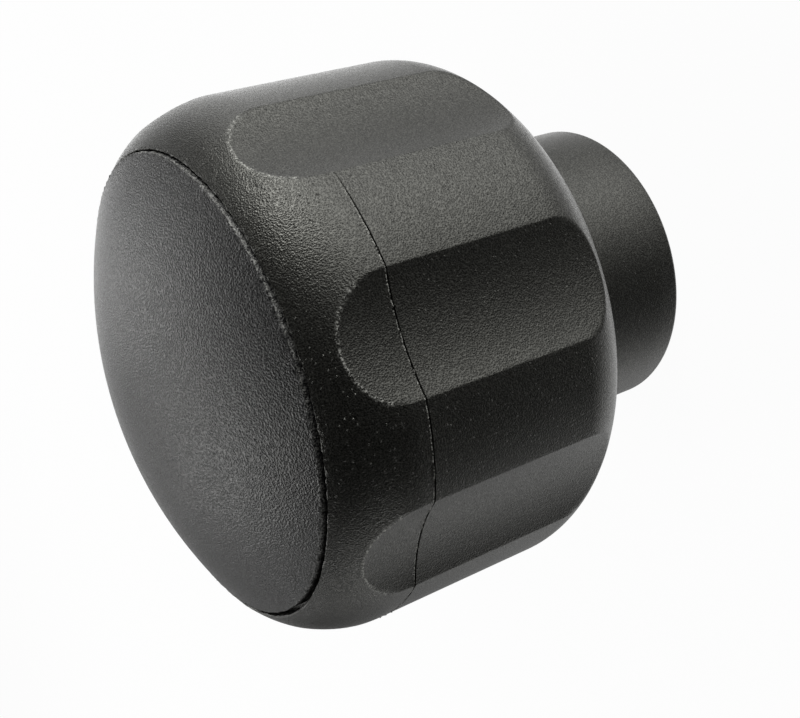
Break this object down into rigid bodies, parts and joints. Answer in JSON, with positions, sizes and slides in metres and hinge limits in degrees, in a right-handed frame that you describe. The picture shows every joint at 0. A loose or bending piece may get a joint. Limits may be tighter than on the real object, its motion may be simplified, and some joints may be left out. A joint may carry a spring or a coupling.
{
  "type": "star knob",
  "caption": "Fluted star knob for clamping by hand: a moulded grip on a round hub, with a domed snap-in cap and a blind threaded brass bush in the hub.",
  "frame": {"origin": "centre of the hub's end face, at the mouth of the threaded bush; the knob stands on this face", "axes": "+Z along the knob's axis, from the hub out through the cap; -Y through the middle of one flute"},
  "size_m": [0.0392, 0.0392, 0.0411],
  "materials": {
    "body_plastic": "glass-filled polyamide, moulded in a spark-eroded mould",
    "cap_plastic": "polyamide, fine spark-eroded grain",
    "bush_brass": "turned, plain"
  },
  "bodies": {
    "root": {"knob_body": "body_plastic", "end_cap": "cap_plastic", "threaded_bush": "bush_brass"}
  },
  "joints": []
}
